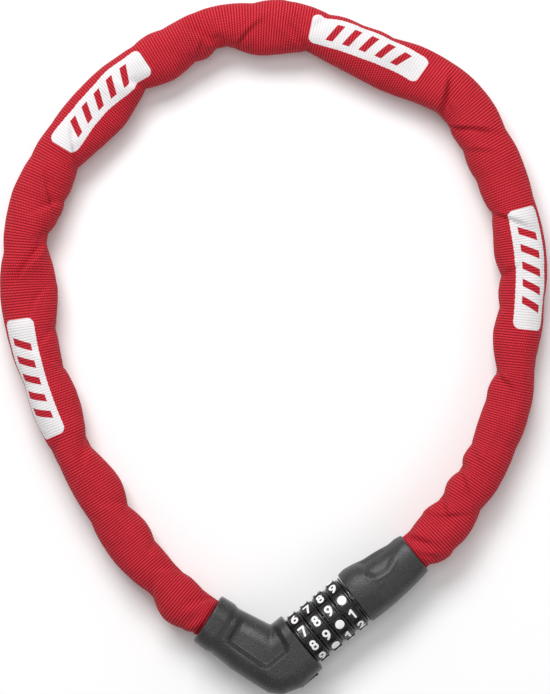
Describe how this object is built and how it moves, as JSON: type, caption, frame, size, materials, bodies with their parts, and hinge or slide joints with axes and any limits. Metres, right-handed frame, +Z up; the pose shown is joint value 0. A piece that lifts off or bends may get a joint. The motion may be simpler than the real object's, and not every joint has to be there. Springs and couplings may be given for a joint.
{
  "type": "chain lock",
  "caption": "Combination chain lock closed into a loop: square-link chain in a woven fabric sleeve, elbow housing with number wheels and a pull-out bolt end.",
  "frame": {"origin": "middle of the outline of the lock lying flat and closed, at the level of the surface it rests on", "axes": "+Z up from the surface it lies on; the loop lies in the XY plane, with the lock at -Y and the far side of the chain at +Y"},
  "size_m": [0.2508, 0.3184, 0.0287],
  "materials": {
    "sleeve_fabric": "coarse woven synthetic, bright red, with printed white panels",
    "soft_touch": "satin soft-touch, fine spark-eroded grain",
    "hard_shell": "semi-gloss black",
    "wheel_plastic": "gloss black with white printed numbers",
    "lock_steel": "turned and zinc plated",
    "chain_steel": "hardened, zinc plated",
    "disc_brass": "stamped"
  },
  "bodies": {
    "lock_body": {"elbow_cover": "soft_touch", "elbow_base": "hard_shell", "elbow_anchor_pin": "lock_steel", "elbow_screw_1": "lock_steel", "elbow_screw_2": "lock_steel", "lock_barrel": "lock_steel", "barrel_spring": "lock_steel", "detent_spring": "lock_steel", "end_ring": "hard_shell", "fabric_sleeve": "sleeve_fabric"},
    "wheel_1": {"code_wheel_1": "wheel_plastic", "gate_disc_1": "disc_brass"},
    "wheel_2": {"code_wheel_2": "wheel_plastic", "gate_disc_2": "disc_brass"},
    "wheel_3": {"code_wheel_3": "wheel_plastic", "gate_disc_3": "disc_brass"},
    "wheel_4": {"code_wheel_4": "wheel_plastic", "gate_disc_4": "disc_brass"},
    "reset_slider": {"reset_slider": "hard_shell"},
    "bolt_end": {"locking_bolt": "lock_steel", "bolt_carrier": "lock_steel", "bolt_anchor_pin": "lock_steel", "bolt_cover_upper": "soft_touch", "bolt_cover_lower": "soft_touch", "bolt_cover_screw_1": "lock_steel", "bolt_cover_screw_2": "lock_steel", "chain_link_30": "chain_steel", "chain_link_31": "chain_steel"},
    "chain_run_1": {"chain_link_01": "chain_steel", "chain_link_02": "chain_steel", "chain_link_03": "chain_steel"},
    "chain_run_2": {"chain_link_04": "chain_steel", "chain_link_05": "chain_steel", "chain_link_06": "chain_steel", "chain_link_07": "chain_steel", "chain_link_08": "chain_steel"},
    "chain_run_3": {"chain_link_09": "chain_steel", "chain_link_10": "chain_steel", "chain_link_11": "chain_steel"},
    "chain_run_4": {"chain_link_12": "chain_steel", "chain_link_13": "chain_steel", "chain_link_14": "chain_steel"},
    "chain_run_5": {"chain_link_15": "chain_steel", "chain_link_16": "chain_steel", "chain_link_17": "chain_steel"},
    "chain_run_6": {"chain_link_18": "chain_steel", "chain_link_19": "chain_steel", "chain_link_20": "chain_steel", "chain_link_21": "chain_steel", "chain_link_22": "chain_steel", "chain_link_23": "chain_steel"},
    "chain_run_7": {"chain_link_24": "chain_steel", "chain_link_25": "chain_steel", "chain_link_26": "chain_steel"},
    "chain_run_8": {"chain_link_27": "chain_steel", "chain_link_28": "chain_steel", "chain_link_29": "chain_steel"}
  },
  "joints": [
    {"name": "wheel_1_turn", "type": "hinge", "parent": "lock_body", "child": "wheel_1", "pos_m": [0.01511, -0.13267, 0.01435], "axis": [0.7793, 0.6266, 0], "continuous": true},
    {"name": "wheel_2_turn", "type": "hinge", "parent": "lock_body", "child": "wheel_2", "pos_m": [0.021, -0.12794, 0.01435], "axis": [0.7793, 0.6266, 0], "continuous": true},
    {"name": "wheel_3_turn", "type": "hinge", "parent": "lock_body", "child": "wheel_3", "pos_m": [0.02688, -0.12321, 0.01435], "axis": [0.7793, 0.6266, 0], "continuous": true},
    {"name": "wheel_4_turn", "type": "hinge", "parent": "lock_body", "child": "wheel_4", "pos_m": [0.03277, -0.11848, 0.01435], "axis": [0.7793, 0.6266, 0], "continuous": true},
    {"name": "reset_slide", "type": "slide", "parent": "lock_body", "child": "reset_slider", "axis": [-0.7793, -0.6266, 0], "range_m": [0, 0.003]},
    {"name": "bolt_slide", "type": "slide", "parent": "lock_body", "child": "bolt_end", "axis": [0.7793, 0.6266, 0], "range_m": [0, 0.04], "deforming": ["fabric_sleeve"]},
    {"name": "chain_bend_8", "type": "hinge", "parent": "bolt_end", "child": "chain_run_8", "pos_m": [0.08693, -0.06849, 0.01305], "axis": [0, 0, 1], "range_deg": [-0.05, 4.07]},
    {"name": "chain_bend_7", "type": "hinge", "parent": "chain_run_8", "child": "chain_run_7", "pos_m": [0.11114, -0.00554, 0.01154], "axis": [0, 0, 1], "range_deg": [-0.05, 3.89]},
    {"name": "chain_bend_6", "type": "hinge", "parent": "chain_run_7", "child": "chain_run_6", "pos_m": [0.10963, 0.06222, 0.0116], "axis": [0, 0, 1], "range_deg": [-0.05, 1.27]},
    {"name": "chain_bend_5", "type": "hinge", "parent": "chain_run_6", "child": "chain_run_5", "pos_m": [0.01181, 0.14552, 0.0116], "axis": [0, 0, 1], "range_deg": [-3.52, 0.05]},
    {"name": "chain_bend_4", "type": "hinge", "parent": "chain_run_5", "child": "chain_run_4", "pos_m": [-0.05358, 0.13406, 0.0116], "axis": [0, 0, 1], "range_deg": [-4.23, 0.05]},
    {"name": "chain_bend_3", "type": "hinge", "parent": "chain_run_4", "child": "chain_run_3", "pos_m": [-0.10032, 0.08562, 0.0116], "axis": [0, 0, 1], "range_deg": [-3.4, 0.05]},
    {"name": "chain_bend_2", "type": "hinge", "parent": "chain_run_3", "child": "chain_run_2", "pos_m": [-0.11318, 0.01979, 0.0116], "axis": [0, 0, 1], "range_deg": [-1.38, 0.05]},
    {"name": "chain_bend_1", "type": "hinge", "parent": "chain_run_2", "child": "chain_run_1", "pos_m": [-0.0704, -0.08426, 0.01204], "axis": [0, 0, 1], "range_deg": [-0.05, 3.3]}
  ],
  "couplings": [
    {"joint": "chain_bend_8", "follows": "bolt_slide", "rad_per_m": 1.7537},
    {"joint": "chain_bend_7", "follows": "bolt_slide", "rad_per_m": 1.6772},
    {"joint": "chain_bend_6", "follows": "bolt_slide", "rad_per_m": 0.53221},
    {"joint": "chain_bend_5", "follows": "bolt_slide", "rad_per_m": -1.5164},
    {"joint": "chain_bend_4", "follows": "bolt_slide", "rad_per_m": -1.823},
    {"joint": "chain_bend_3", "follows": "bolt_slide", "rad_per_m": -1.4638},
    {"joint": "chain_bend_2", "follows": "bolt_slide", "rad_per_m": -0.57944},
    {"joint": "chain_bend_1", "follows": "bolt_slide", "rad_per_m": 1.4195}
  ]
}
